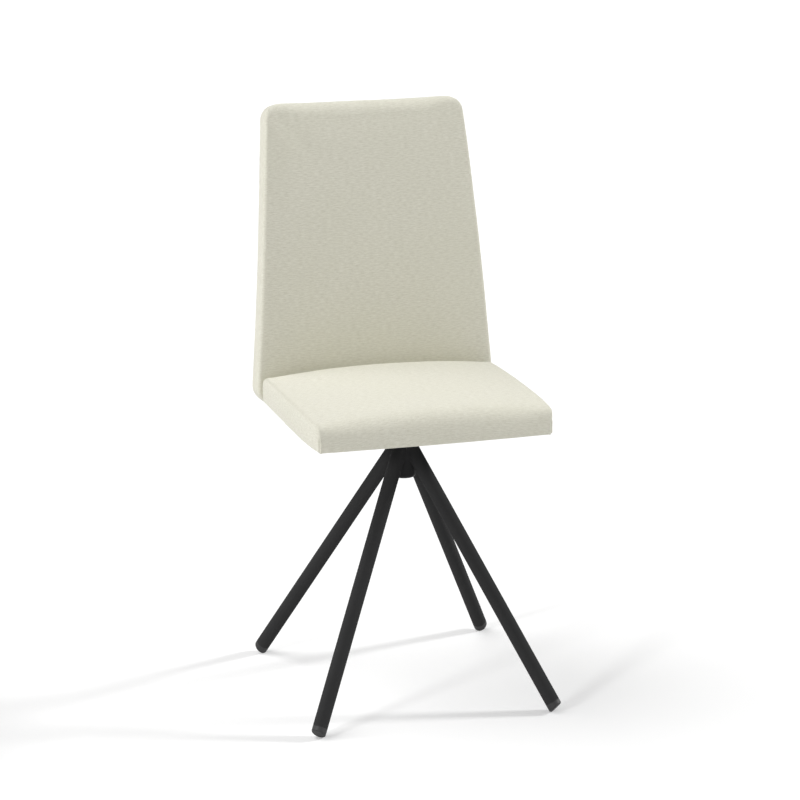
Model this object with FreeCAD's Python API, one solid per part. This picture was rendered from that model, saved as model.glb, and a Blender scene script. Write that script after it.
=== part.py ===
import FreeCAD, Part
import math
import os
from FreeCAD import Vector

# Swivel dining chair: an upholstered seat and a tall upholstered back that turn freely on a base
# of four leaning steel tubes, coped and welded to one central hub.
# Frame: millimetres, +Z up, origin on the floor at the swivel axis. The chair faces -Y, and left
# means -X, as someone standing in front of the chair sees it.

# Legs
leg_diameter = 25.0
leg_wall = 1.5
leg_lean = 33.66                # angle between a leg and the vertical, in degrees
leg_apex_drop = 13.3            # from the hub's top to where the leg axes would meet on the swivel axis

# Foot glides
glide_head = 12.0               # length of the black head that goes on from the tube
glide_spigot = 20.0             # length of the plug inside the tube
glide_sole_tilt = 17.0          # the sole leans this far from square, so its inner side is longer
glide_toe_radius = 3.5
glide_floor_flat = 0.43         # what is worn flat where the toe stands on the floor
glide_slip = 0.05               # gap between plug and tube, on the radius

# Hub
hub_diameter = 40.0
hub_bore = 30.0
hub_length = 83.0
hub_to_seat = 20.3              # from the hub's top to the underside of the seat
hub_cap_thickness = 3.0
hub_cap_edge_radius = 2.5
hub_cap_spigot = 8.0
hub_cap_spigot_wall = 2.5

# Swivel bearing
spindle_diameter = 28.0
spindle_collar_diameter = 38.0
bush_wall = 3.0
bush_seat_slip = 0.02           # on the radius, between hub and bushes
bush_length = 20.0
bush_flange_thickness = 3.0
bush_flange_diameter = 38.0
running_clearance = 0.05        # on the radius, between spindle and bushes
thrust_washer_thickness = 2.0
retaining_washer_diameter = 32.0
retaining_washer_thickness = 3.0
retaining_play = 0.2            # axial play under the lower bush
retaining_screw_diameter = 8.0
retaining_screw_length = 22.0
retaining_screw_head_diameter = 13.0
retaining_screw_head_height = 8.0
retaining_screw_socket_width = 6.0
lower_bush_setback = 19.0       # from the hub's lower end to the lower bush

# Seat, in its own frame: the seat's underside is a plane that leans back by seat_tilt
seat_plane_height = 480.8       # height of the underside on the swivel axis
seat_tilt = 1.4
seat_width = 400.0
seat_front = 193.0              # from the swivel axis to the front at the sides
seat_front_bulge = 5.5          # the front stands this much further out in the middle
seat_side_height = 43.0
seat_crown = 13.0               # the middle of the seat stands this much above its sides
seat_dome = 3.0                 # rise of the top along the depth of the seat
seat_front_radius = 27.0
seat_rear_radius = 20.0
seat_bottom_radius = 4.0
seat_top_edge_radius = 10.0     # soft edge along the sides of the top
seat_corner_radius = 6.0        # soft upright edge at the front corners
seat_to_back_gap = 0.6

# Back: its front face is one arc, seen from the side, and the other layers follow it
back_bottom_drop = 12.3         # the back reaches this far below the underside of the seat
back_middle_rise = 251.5        # from its lower edge to the height of back_middle_y
back_height = 514.0             # from its lower edge to the line of the top, before rounding
back_bottom_y = 167.8
back_middle_y = 190.3
back_top_y = 242.7
back_thickness = 46.0
back_crown = 3.0                # the middle of the front face stands this much further out
back_bottom_width = 426.0
back_top_width = 347.0
back_top_front_radius = 24.0
back_bottom_front_radius = 10.0
back_rear_edge_radius = 4.0
back_side_edge_radius = 5.0
back_top_corner_radius = 21.0   # corners of the outline, seen from the front
back_bottom_corner_radius = 27.0

# Upholstery and boards
cover_thickness = 2.0
layer_slip = 0.2                # gap between neighbouring layers
board_thickness = 12.0
board_side_margin = 12.0        # foam that wraps round the seat board
board_corner_radius = 25.0
hem_width = 32.0                # cover turned under the seat board
dust_cover_thickness = 0.8
dust_cover_overlap = 18.0       # how far the dust cover laps over the hem
back_foam_thickness = 26.0
shell_thickness = 12.0
shell_margin = 11.0
shell_corner_radius = 18.0
rear_panel_margin = 4.0
rear_panel_corner_radius = 19.0
edge_stations = 4               # steps of a cushion's cross-sections round each side edge
inner_stations = 4              # steps from there to the middle

# Swivel plate and brackets
plate_size = 150.0
plate_thickness = 5.0
plate_corner_radius = 14.0
plate_hole_spacing = 116.0
bracket_width = 40.0
bracket_thickness = 5.0
bracket_spacing = 230.0         # between the middles of the two brackets
bracket_bend_radius = 7.0
bracket_front_y = 10.0          # front end of the flat arm under the seat
bracket_arm_height = 125.0      # upright arm above the underside of the seat
bracket_end_radius = 8.0
bracket_seat_hole_y = (35.0, 115.0)
bracket_back_hole_height = (55.0, 100.0)

# Screws and T-nuts
screw_diameter = 6.0
screw_head_diameter = 12.0
screw_head_height = 4.0
screw_hole_clearance = 0.4      # on the diameter, in steel
screw_socket_width = 4.0
socket_depth_share = 0.6        # depth of a hexagon socket, as a share of its head's height
head_chamfer = 0.7              # round the rim of a screw head
t_nut_flange_diameter = 19.0
t_nut_flange_thickness = 1.2
t_nut_barrel_diameter = 8.0
tapped_clearance = 0.2          # on the diameter, where thread meets thread
t_nut_seat_gap = 0.15           # under a flange on the curved shell
pocket_room = 1.0               # room round heads and arms in the foam

# Values that follow
X_AXIS = Vector(1, 0, 0)
Z_AXIS = Vector(0, 0, 1)
hub_top_height = seat_plane_height - hub_to_seat
hub_bottom_height = hub_top_height - hub_length
leg_apex_height = hub_top_height - leg_apex_drop
leg_radius = leg_diameter / 2
lean = math.radians(leg_lean)
sole_tilt = math.radians(glide_sole_tilt)
bush_outer = spindle_diameter / 2 + running_clearance + bush_wall
lower_bush_bottom = hub_bottom_height + lower_bush_setback
spindle_bottom = lower_bush_bottom - retaining_play
collar_bottom = hub_top_height + bush_flange_thickness + thrust_washer_thickness
plate_top = -dust_cover_thickness
plate_bottom = plate_top - plate_thickness
board_bottom = cover_thickness + layer_slip
board_top = board_bottom + board_thickness
shell_front = cover_thickness + back_foam_thickness + layer_slip
shell_rear = shell_front + shell_thickness


def foot_end_height():
    """Height of the middle of a sole, such that the rounded toe stands floor_flat deep."""
    toe_drop = leg_radius * (math.sin(lean) + math.tan(sole_tilt) * math.cos(lean))
    half_corner = math.radians(90 - glide_sole_tilt) / 2
    off_vertical = math.radians(45 - glide_sole_tilt / 2 - leg_lean)
    toe_lift = glide_toe_radius * (math.cos(off_vertical) / math.sin(half_corner) - 1)
    return toe_drop - toe_lift - glide_floor_flat


def circle_through(first, second, third):
    """Centre and radius of the circle through three (y, z) points."""
    (ay, az), (by, bz), (cy, cz) = first, second, third
    double_area = 2 * (ay * (bz - cz) + by * (cz - az) + cy * (az - bz))
    a2, b2, c2 = ay * ay + az * az, by * by + bz * bz, cy * cy + cz * cz
    y = (a2 * (bz - cz) + b2 * (cz - az) + c2 * (az - bz)) / double_area
    z = (a2 * (cy - by) + b2 * (ay - cy) + c2 * (by - ay)) / double_area
    return y, z, math.hypot(ay - y, az - z)


back_bottom_height = seat_plane_height - back_bottom_drop
back_top_height = back_bottom_height + back_height
back_centre_y, back_centre_z, back_radius = circle_through(
    (back_bottom_y, back_bottom_height), (back_middle_y, back_bottom_height + back_middle_rise),
    (back_top_y, back_top_height))
back_bottom_angle = math.asin((back_bottom_height - back_centre_z) / back_radius)
back_top_angle = math.asin((back_top_height - back_centre_z) / back_radius)
back_arc_length = back_radius * (back_top_angle - back_bottom_angle)
back_width_slope = (back_bottom_width - back_top_width) / back_height


def back_front_y(height):
    """Y of the back's front face at a height."""
    return back_centre_y - math.sqrt(back_radius ** 2 - (height - back_centre_z) ** 2)


def back_half_width(height):
    """Half the back's width at a height."""
    return (back_bottom_width - back_width_slope * (height - back_bottom_height)) / 2


def back_point(depth, rise):
    """(y, z) of a point at a depth behind the front face and a rise along its arc."""
    angle = back_bottom_angle + rise / back_radius
    reach = back_radius - depth
    return back_centre_y - reach * math.cos(angle), back_centre_z + reach * math.sin(angle)


seat_rear = back_front_y(seat_plane_height + seat_side_height / 2) - back_crown - seat_to_back_gap
seat_rear -= seat_side_height * math.sin(math.radians(seat_tilt))


def to_seat(shape):
    """Bring a shape from the seat's own frame, where z = 0 is its underside, to the chair."""
    moved = shape.copy()
    moved.translate(Vector(0, 0, seat_plane_height))
    moved.rotate(Vector(0, 0, seat_plane_height), X_AXIS, -seat_tilt)
    return moved


def seat_point(x, y, z):
    """A point of the seat's own frame, in the chair's frame."""
    angle = math.radians(seat_tilt)
    return Vector(x, y * math.cos(angle) + z * math.sin(angle),
                  seat_plane_height - y * math.sin(angle) + z * math.cos(angle))


def ring(outer_radius, inner_radius, bottom, top):
    """Upright ring on the swivel axis."""
    base = Vector(0, 0, bottom)
    body = Part.makeCylinder(outer_radius, top - bottom, base, Z_AXIS)
    return body.cut(Part.makeCylinder(inner_radius, top - bottom, base, Z_AXIS))


def rounded_plate(x_low, x_high, y_low, y_high, z_low, z_high, corner_radius):
    """Flat plate with rounded upright corners."""
    body = Part.makeBox(x_high - x_low, y_high - y_low, z_high - z_low, Vector(x_low, y_low, z_low))
    upright = [edge for edge in body.Edges if abs(edge.BoundBox.ZLength - (z_high - z_low)) < 1e-6]
    return body.makeFillet(corner_radius, upright)


def group(shapes):
    """Several separate solids that share one node."""
    return Part.makeCompound(shapes)


# Base

def leg_frame(side_x, side_y):
    """Placement of a leg: its own z runs up the leg from the middle of the sole."""
    run = (leg_apex_height - foot_end_height()) * math.tan(lean)
    foot = Vector(side_x * run / math.sqrt(2), side_y * run / math.sqrt(2), foot_end_height())
    heading = math.degrees(math.atan2(side_y, side_x))
    turn = FreeCAD.Rotation(Z_AXIS, heading).multiply(FreeCAD.Rotation(Vector(0, 1, 0), -leg_lean))
    return FreeCAD.Placement(foot, turn)


def leg(side_x, side_y):
    """One tube, coped to sit against the hub."""
    full_length = (leg_apex_height - foot_end_height()) / math.cos(lean)
    length = full_length - glide_head
    start = Vector(0, 0, glide_head)
    tube = Part.makeCylinder(leg_radius, length, start, Z_AXIS)
    tube = tube.cut(Part.makeCylinder(leg_radius - leg_wall, length, start, Z_AXIS))
    tube.Placement = leg_frame(side_x, side_y)
    cope = Part.makeCylinder(hub_diameter / 2, 2 * leg_apex_height, Vector(0, 0, 0), Z_AXIS)
    return tube.cut(cope)


def foot_glide(side_x, side_y):
    """Black plastic foot: a head of the tube's size with a slanting sole, on a plug."""
    reach = 2 * leg_diameter
    head = Part.makeCylinder(leg_radius, glide_head + leg_radius, Vector(0, 0, -leg_radius), Z_AXIS)
    below_sole = Part.makeBox(reach, reach, reach, Vector(-reach / 2, -reach / 2, -reach))
    below_sole.rotate(Vector(0, 0, 0), Vector(0, 1, 0), -glide_sole_tilt)
    head = head.cut(below_sole)
    rim = [edge for edge in head.Edges if edge.BoundBox.ZMax < glide_head / 2 and len(edge.Vertexes) == 1]
    head = head.makeFillet(glide_toe_radius, rim)
    plug_radius = leg_radius - leg_wall - glide_slip
    plug = Part.makeCylinder(plug_radius, glide_spigot, Vector(0, 0, glide_head), Z_AXIS)
    glide = head.fuse(plug).removeSplitter()
    glide.Placement = leg_frame(side_x, side_y)
    floor = Part.makeBox(4 * leg_apex_height, 4 * leg_apex_height, leg_apex_height,
                         Vector(-2 * leg_apex_height, -2 * leg_apex_height, -leg_apex_height))
    return glide.cut(floor)


def hub():
    """Turned steel hub, counterbored at both ends for the swivel bushes."""
    body = ring(hub_diameter / 2, hub_bore / 2, hub_bottom_height, hub_top_height)
    seat_radius = bush_outer + bush_seat_slip
    upper_seat = Part.makeCylinder(seat_radius, bush_length, Vector(0, 0, hub_top_height - bush_length),
                                   Z_AXIS)
    lower_seat = Part.makeCylinder(seat_radius, lower_bush_setback + bush_length,
                                   Vector(0, 0, hub_bottom_height), Z_AXIS)
    return body.cut(upper_seat).cut(lower_seat)


def hub_cap():
    """Black plastic cap that closes the lower end of the hub."""
    bottom = Vector(0, 0, hub_bottom_height - hub_cap_thickness)
    disc = Part.makeCylinder(hub_diameter / 2, hub_cap_thickness, bottom, Z_AXIS)
    rim = [edge for edge in disc.Edges if edge.BoundBox.ZMax < hub_bottom_height - hub_cap_thickness / 2]
    disc = disc.makeFillet(hub_cap_edge_radius, rim)
    spigot_outer = bush_outer - glide_slip
    spigot = ring(spigot_outer, spigot_outer - hub_cap_spigot_wall, hub_bottom_height,
                  hub_bottom_height + hub_cap_spigot)
    return disc.fuse(spigot).removeSplitter()


def upper_bush():
    """Flanged plastic bush in the top of the hub."""
    bore = spindle_diameter / 2 + running_clearance
    sleeve = ring(bush_outer, bore, hub_top_height - bush_length, hub_top_height)
    flange = ring(bush_flange_diameter / 2, bore, hub_top_height, hub_top_height + bush_flange_thickness)
    return sleeve.fuse(flange).removeSplitter()


def lower_bush():
    """Plain plastic bush against the lower shoulder of the hub."""
    return ring(bush_outer, spindle_diameter / 2 + running_clearance, lower_bush_bottom,
                lower_bush_bottom + bush_length)


def thrust_washer():
    """Washer between the flange of the upper bush and the collar of the spindle."""
    bottom = hub_top_height + bush_flange_thickness
    return ring(bush_flange_diameter / 2, spindle_diameter / 2 + running_clearance, bottom,
                bottom + thrust_washer_thickness)


# Swivelling steel parts

def swivel_spindle():
    """Spindle with a collar that is cut to the lean of the seat and welded under the plate."""
    tall = seat_plane_height - spindle_bottom
    shaft = Part.makeCylinder(spindle_diameter / 2, tall, Vector(0, 0, spindle_bottom), Z_AXIS)
    collar = Part.makeCylinder(spindle_collar_diameter / 2, tall, Vector(0, 0, collar_bottom), Z_AXIS)
    size = 4 * spindle_collar_diameter
    above_plate = to_seat(Part.makeBox(size, size, 2 * tall, Vector(-size / 2, -size / 2, plate_bottom)))
    tapped = Part.makeCylinder(retaining_screw_diameter / 2 + tapped_clearance / 2,
                               retaining_screw_length, Vector(0, 0, spindle_bottom), Z_AXIS)
    return shaft.fuse(collar).removeSplitter().cut(above_plate).cut(tapped)


def retaining_washer():
    """Washer on the lower end of the spindle that keeps the seat from being lifted off."""
    return ring(retaining_washer_diameter / 2, (retaining_screw_diameter + screw_hole_clearance) / 2,
                spindle_bottom - retaining_washer_thickness, spindle_bottom)


def cap_screw(diameter, head_diameter, head_height, length, socket_width):
    """Screw with a hexagon socket: shank along +z from the head's bearing face at z = 0."""
    head = Part.makeCylinder(head_diameter / 2, head_height, Vector(0, 0, -head_height), Z_AXIS)
    rim = [edge for edge in head.Edges if edge.BoundBox.ZMax < -head_height / 2]
    head = head.makeChamfer(head_chamfer, rim)
    shank = Part.makeCylinder(diameter / 2, length, Vector(0, 0, 0), Z_AXIS)
    corner = socket_width / math.sqrt(3)
    points = [Vector(corner * math.cos(math.radians(60 * turn)), corner * math.sin(math.radians(60 * turn)),
                     -head_height) for turn in range(7)]
    socket = Part.Face(Part.makePolygon(points)).extrude(Vector(0, 0, head_height * socket_depth_share))
    return head.fuse(shank).removeSplitter().cut(socket)


def retaining_screw():
    """Screw that clamps the retaining washer to the spindle."""
    screw = cap_screw(retaining_screw_diameter, retaining_screw_head_diameter, retaining_screw_head_height,
                      retaining_screw_length - retaining_play, retaining_screw_socket_width)
    screw.translate(Vector(0, 0, spindle_bottom - retaining_washer_thickness))
    return screw


def plate_hole_places():
    """(x, y) of the four screws of the swivel plate."""
    half = plate_hole_spacing / 2
    return [(side_x * half, side_y * half) for side_x in (-1, 1) for side_y in (-1, 1)]


def swivel_plate():
    """Steel plate that carries the seat board."""
    half = plate_size / 2
    plate = rounded_plate(-half, half, -half, half, plate_bottom, plate_top, plate_corner_radius)
    hole = (screw_diameter + screw_hole_clearance) / 2
    for x, y in plate_hole_places():
        plate = plate.cut(Part.makeCylinder(hole, plate_thickness, Vector(x, y, plate_bottom), Z_AXIS))
    return to_seat(plate)


def bracket_side_places(side):
    """(x, y) of the screws that hold one bracket under the seat."""
    return [(side * bracket_spacing / 2, y) for y in bracket_seat_hole_y]


def upright_frame(side, height):
    """Placement on the shell's front face: z points forward, out of the shell, at a height above the
    seat's underside."""
    rise = (bracket_arm_height + min(bracket_back_hole_height)) / 2 + seat_plane_height - back_bottom_height
    angle = back_bottom_angle + rise / back_radius
    middle_y, middle_z = back_point(shell_front - layer_slip, rise)
    along = height - (rise - seat_plane_height + back_bottom_height)
    y = middle_y + along * math.sin(angle)
    z = middle_z + along * math.cos(angle)
    turn = FreeCAD.Rotation(X_AXIS, 90 - math.degrees(angle))
    return FreeCAD.Placement(Vector(side * bracket_spacing / 2, y, z), turn)


def back_bracket(side):
    """Bent flat bar: one arm under the seat board, the other up the front of the back's shell."""
    low = seat_point(0, bracket_front_y, plate_bottom)
    forward = seat_point(0, bracket_front_y + 1, plate_bottom) - low
    top = upright_frame(side, bracket_arm_height).Base
    upward = top - upright_frame(side, 0).Base
    upward.normalize()
    # The two outer faces meet here before the bend is rounded.
    span = top - low
    share = (span.y * upward.z - span.z * upward.y) / (forward.y * upward.z - forward.z * upward.y)
    corner = Vector(0, low.y + share * forward.y, low.z + share * forward.z)
    top = Vector(0, top.y, top.z)
    flat_in = Vector(0, -forward.z, forward.y)
    upright_in = Vector(0, -upward.z, upward.y)
    outer_radius = bracket_bend_radius + bracket_thickness
    turn = math.acos(forward.dot(upward))
    tangent = outer_radius * math.tan(turn / 2)
    centre = corner - forward * tangent + flat_in * outer_radius
    outward = (corner - centre).normalize()
    outer = [low, corner - forward * tangent, centre + outward * outer_radius, corner + upward * tangent, top]
    inner = [top + upright_in * bracket_thickness, centre - upright_in * bracket_bend_radius,
             centre + outward * bracket_bend_radius, centre - flat_in * bracket_bend_radius,
             low + flat_in * bracket_thickness]
    edges = [Part.LineSegment(outer[0], outer[1]), Part.Arc(outer[1], outer[2], outer[3]),
             Part.LineSegment(outer[3], outer[4]), Part.LineSegment(outer[4], inner[0]),
             Part.LineSegment(inner[0], inner[1]), Part.Arc(inner[1], inner[2], inner[3]),
             Part.LineSegment(inner[3], inner[4]), Part.LineSegment(inner[4], outer[0])]
    face = Part.Face(Part.Wire([edge.toShape() for edge in edges]))
    bar = face.extrude(Vector(bracket_width, 0, 0))
    bar.translate(Vector(side * bracket_spacing / 2 - bracket_width / 2, 0, 0))
    ends = [edge for edge in bar.Edges
            if abs(edge.Length - bracket_thickness) < 1e-6
            and (abs(edge.CenterOfMass.y - low.y) < bracket_thickness
                 or abs(edge.CenterOfMass.z - top.z) < bracket_thickness)]
    bar = bar.makeFillet(bracket_end_radius, ends)
    hole = (screw_diameter + screw_hole_clearance) / 2
    for x, y in bracket_side_places(side):
        start = Vector(x, y, plate_bottom - bracket_thickness)
        bar = bar.cut(to_seat(Part.makeCylinder(hole, 3 * bracket_thickness, start, Z_AXIS)))
    for height in bracket_back_hole_height:
        drill = Part.makeCylinder(hole, 3 * bracket_thickness, Vector(0, 0, -bracket_thickness), Z_AXIS)
        drill.Placement = upright_frame(side, height)
        bar = bar.cut(drill)
    return bar


# Screws and nuts

def seat_screw(x, y):
    """Screw from below through a steel part of plate_thickness into the seat board."""
    length = plate_thickness + dust_cover_thickness + board_top
    screw = cap_screw(screw_diameter, screw_head_diameter, screw_head_height, length, screw_socket_width)
    screw.translate(Vector(x, y, plate_bottom))
    return to_seat(screw)


def t_nut():
    """T-nut: flange on z = 0 and above, barrel downwards."""
    barrel_length = board_thickness - t_nut_flange_thickness
    barrel = Part.makeCylinder(t_nut_barrel_diameter / 2, barrel_length, Vector(0, 0, -barrel_length), Z_AXIS)
    flange = Part.makeCylinder(t_nut_flange_diameter / 2, t_nut_flange_thickness, Vector(0, 0, 0), Z_AXIS)
    bore = Part.makeCylinder((screw_diameter + tapped_clearance) / 2, 2 * board_thickness,
                             Vector(0, 0, -board_thickness), Z_AXIS)
    return barrel.fuse(flange).removeSplitter().cut(bore)


def seat_t_nut(x, y):
    """T-nut pressed into the top of the seat board."""
    nut = t_nut()
    nut.translate(Vector(x, y, board_top))
    return to_seat(nut)


def all_bracket_side_places():
    return bracket_side_places(-1) + bracket_side_places(1)


def back_screw(side, height):
    """Screw from the front through the upright arm into the shell."""
    length = bracket_thickness + layer_slip + shell_thickness
    screw = cap_screw(screw_diameter, screw_head_diameter, screw_head_height, length, screw_socket_width)
    screw.rotate(Vector(0, 0, 0), X_AXIS, 180)
    screw.translate(Vector(0, 0, bracket_thickness))
    screw.Placement = upright_frame(side, height).multiply(screw.Placement)
    return screw


def back_t_nut(side, height):
    """T-nut pressed into the rear of the shell."""
    nut = t_nut()
    nut.rotate(Vector(0, 0, 0), X_AXIS, 180)
    nut.translate(Vector(0, 0, -layer_slip - shell_thickness - shell_sag(height) - t_nut_seat_gap))
    nut.Placement = upright_frame(side, height).multiply(nut.Placement)
    return nut


def shell_sag(height):
    """How far the curved shell lies behind the straight upright arm at a height."""
    middle = (bracket_arm_height + min(bracket_back_hole_height)) / 2
    return (height - middle) ** 2 / (2 * back_radius)


def back_hole_places():
    return [(side, height) for side in (-1, 1) for height in bracket_back_hole_height]


# Upholstery forms

def edge_inset(radius, distance):
    """How far a rounded edge draws in at a distance from the side."""
    if distance >= radius:
        return 0.0
    return radius - math.sqrt(radius ** 2 - (radius - distance) ** 2)


def section(low, high, radii, bows, place):
    """Closed wire round a cross-section with four rounded corners.

    low and high are (depth, height) corners, radii go front bottom, front top, rear top and rear
    bottom, and bows say how far the front, top, rear and bottom runs swell; None is a straight run.
    """
    corners = [(low[0], low[1], 1, 1), (low[0], high[1], 1, -1), (high[0], high[1], -1, -1),
               (high[0], low[1], -1, 1)]
    arcs = []
    for index, (depth, height, in_depth, in_height) in enumerate(corners):
        radius = radii[index]
        along_height = (depth, height + in_height * radius)
        along_depth = (depth + in_depth * radius, height)
        bulge = radius * (1 - math.sqrt(0.5))
        middle = (depth + in_depth * bulge, height + in_height * bulge)
        ends = (along_depth, along_height) if index % 2 == 0 else (along_height, along_depth)
        arcs.append((ends[0], middle, ends[1]))
    out_depth = (-1, 0, 1, 0)
    out_height = (0, 1, 0, -1)
    edges = []
    for index, (start, middle, end) in enumerate(arcs):
        after = arcs[(index + 1) % 4][0]
        edges.append(Part.Arc(place(*start), place(*middle), place(*end)).toShape())
        if bows[index] is None:
            edges.append(Part.LineSegment(place(*end), place(*after)).toShape())
        else:
            swell = ((end[0] + after[0]) / 2 + out_depth[index] * bows[index],
                     (end[1] + after[1]) / 2 + out_height[index] * bows[index])
            edges.append(Part.Arc(place(*end), place(*swell), place(*after)).toShape())
    return Part.Wire(edges)


def stations(edge_radius, least_half_width):
    """(side, distance from that side) of the cross-sections, from left to right."""
    turns = [math.pi / 2 * count / edge_stations for count in range(edge_stations + 1)]
    steps = [edge_radius * (1 - math.cos(turn)) for turn in turns]
    inner = (least_half_width - edge_radius) / inner_stations
    steps += [edge_radius + inner * count for count in range(1, inner_stations)]
    return [(-1, step) for step in steps] + [(0, 0)] + [(1, step) for step in reversed(steps)]


def seat_form(inset):
    """Closed form of the seat cushion, drawn in by inset on every side."""
    half_width = seat_width / 2 - inset
    wires = []
    for side, distance in stations(seat_top_edge_radius, half_width):
        x = side * (half_width - distance)
        fullness = 1 - (x / half_width) ** 2
        top_inset = edge_inset(seat_top_edge_radius, distance) if side else 0.0
        corner_inset = edge_inset(seat_corner_radius, distance) if side else 0.0
        front = seat_front + seat_front_bulge * fullness - inset - corner_inset
        rear = seat_rear - inset - corner_inset
        top = seat_side_height + seat_crown * fullness - inset - top_inset
        bottom = inset + corner_inset / 2
        drawn_in = inset + max(top_inset, corner_inset)
        radii = (max(seat_bottom_radius - inset, 1), seat_front_radius - drawn_in,
                 seat_rear_radius - drawn_in, max(seat_bottom_radius - inset, 1))
        bows = (None, seat_dome, None, None)
        wires.append(section((-front, bottom), (rear, top), radii, bows,
                             lambda depth, height, x=x: seat_point(x, depth, height)))
    return Part.makeLoft(wires, True, True)


def back_form(inset):
    """Closed form of the back cushion, drawn in by inset on every side."""
    wires = []
    least_half_width = back_top_width / 2 - inset
    for side, distance in stations(back_bottom_corner_radius, least_half_width):
        gone = inset + distance

        def place(depth, rise, side=side, gone=gone):
            y, z = back_point(depth, rise)
            return Vector(side * (back_half_width(z) - gone), y, z)

        edge = edge_inset(back_side_edge_radius, distance) if side else 0.0
        top = edge_inset(back_top_corner_radius, distance) if side else 0.0
        bottom = edge_inset(back_bottom_corner_radius, distance) if side else 0.0
        fullness = 1 - (1 - distance / least_half_width) ** 2 if side else 1.0
        low = (inset + edge - back_crown * fullness, inset + bottom)
        high = (back_thickness - inset - edge, back_arc_length - inset - top)
        radii = (back_bottom_front_radius - inset, back_top_front_radius - inset,
                 max(back_rear_edge_radius - inset, 1), max(back_rear_edge_radius - inset, 1))
        wires.append(section(low, high, radii, (0.0, None, 0.0, None), place))
    return Part.makeLoft(wires, True, True)


def curved_panel(front_depth, rear_depth, margin, corner_radius):
    """Part of the back between two depths, its outline drawn in by margin."""
    low = margin
    high = back_arc_length - margin
    middle = (low + high) / 2

    def point(depth, rise):
        y, z = back_point(depth, rise)
        return Vector(0, y, z)

    edges = [Part.Arc(point(front_depth, low), point(front_depth, middle), point(front_depth, high)),
             Part.LineSegment(point(front_depth, high), point(rear_depth, high)),
             Part.Arc(point(rear_depth, high), point(rear_depth, middle), point(rear_depth, low)),
             Part.LineSegment(point(rear_depth, low), point(front_depth, low))]
    face = Part.Face(Part.Wire([edge.toShape() for edge in edges]))
    slab = face.extrude(Vector(2 * back_bottom_width, 0, 0))
    slab.translate(Vector(-back_bottom_width, 0, 0))
    bottom = back_point(0, low)[1]
    top = back_point(0, high)[1]
    bottom_half = back_half_width(bottom) - margin
    top_half = back_half_width(top) - margin
    outline = Part.makePolygon([Vector(-bottom_half, 0, bottom), Vector(bottom_half, 0, bottom),
                                Vector(top_half, 0, top), Vector(-top_half, 0, top),
                                Vector(-bottom_half, 0, bottom)])
    prism = Part.Face(outline).extrude(Vector(0, 2 * back_top_y, 0))
    if corner_radius:
        across = [edge for edge in prism.Edges if edge.BoundBox.YLength > back_top_y]
        prism = prism.makeFillet(corner_radius, across)
    return slab.common(prism)


# Seat

def board_limits(room):
    """x, front and rear of the seat board, with room added all round."""
    half = seat_width / 2 - board_side_margin + room
    return half, -seat_front + board_side_margin - room, seat_rear - board_side_margin + room


def seat_board():
    """Plywood board with holes for the T-nuts."""
    half, front, rear = board_limits(0.0)
    board = rounded_plate(-half, half, front, rear, board_bottom, board_top, board_corner_radius)
    for x, y in plate_hole_places() + all_bracket_side_places():
        board = board.cut(Part.makeCylinder(t_nut_barrel_diameter / 2 + layer_slip, 2 * board_thickness,
                                            Vector(x, y, 0), Z_AXIS))
    return to_seat(board)


def seat_foam():
    """Foam that lies on the board and wraps round its edges."""
    half, front, rear = board_limits(layer_slip)
    pocket = rounded_plate(-half, half, front, rear, -board_thickness, board_top + layer_slip,
                           board_corner_radius)
    for x, y in plate_hole_places() + all_bracket_side_places():
        flange_room = Part.makeCylinder(t_nut_flange_diameter / 2 + layer_slip,
                                        t_nut_flange_thickness + layer_slip, Vector(x, y, board_top), Z_AXIS)
        pocket = pocket.fuse(flange_room)
    return seat_form(cover_thickness + layer_slip).cut(to_seat(pocket))


def hem_opening(room):
    """Opening that the turned-under cover leaves in the seat's underside."""
    half = seat_width / 2 - hem_width - room
    return rounded_plate(-half, half, -seat_front + hem_width + room, seat_rear - hem_width - room,
                         0, cover_thickness, board_corner_radius)


def seat_cover():
    """Sewn cover over top, front, sides and rear, turned under the board."""
    opening = hem_opening(0.0)
    opening = opening.fuse(opening.translated(Vector(0, 0, -cover_thickness)))
    opening = opening.fuse(opening.translated(Vector(0, 0, cover_thickness)))
    return seat_form(0.0).cut(seat_form(cover_thickness)).cut(to_seat(opening))


def seat_dust_cover():
    """Black cloth over the underside, lapped over the hem of the cover."""
    inward = hem_width - dust_cover_overlap
    half = seat_width / 2 - inward
    sheet = rounded_plate(-half, half, -seat_front + inward, seat_rear - inward, plate_top, 0,
                          board_corner_radius)
    sheet = sheet.fuse(hem_opening(layer_slip)).removeSplitter()
    for x, y in plate_hole_places() + all_bracket_side_places():
        sheet = sheet.cut(Part.makeCylinder(screw_diameter / 2 + layer_slip, 4 * cover_thickness,
                                            Vector(x, y, -2 * cover_thickness), Z_AXIS))
    return to_seat(sheet)


# Back

def back_shell():
    """Curved plywood shell of the back."""
    shell = curved_panel(shell_front, shell_rear, shell_margin, shell_corner_radius)
    for side, height in back_hole_places():
        drill = Part.makeCylinder(t_nut_barrel_diameter / 2 + layer_slip, 4 * shell_thickness,
                                  Vector(0, 0, -2 * shell_thickness), Z_AXIS)
        drill.Placement = upright_frame(side, height).multiply(drill.Placement)
        shell = shell.cut(drill)
    return shell


def bracket_room(side):
    """Space kept free in the foam and the cover for a bracket and its screw heads."""
    width = bracket_width + 2 * pocket_room
    deep = bracket_thickness + screw_head_height + pocket_room
    top = bracket_arm_height + pocket_room
    bottom = plate_bottom - pocket_room
    upright = Part.makeBox(width, top - bottom, 2 * deep, Vector(-width / 2, bottom, -deep))
    upright.Placement = upright_frame(side, 0)
    x = side * bracket_spacing / 2 - width / 2
    rear = back_front_y(back_bottom_height) + shell_front
    flat = to_seat(Part.makeBox(width, rear, bracket_thickness + 2 * pocket_room, Vector(x, 0, bottom)))
    return upright.fuse(flat)


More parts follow.
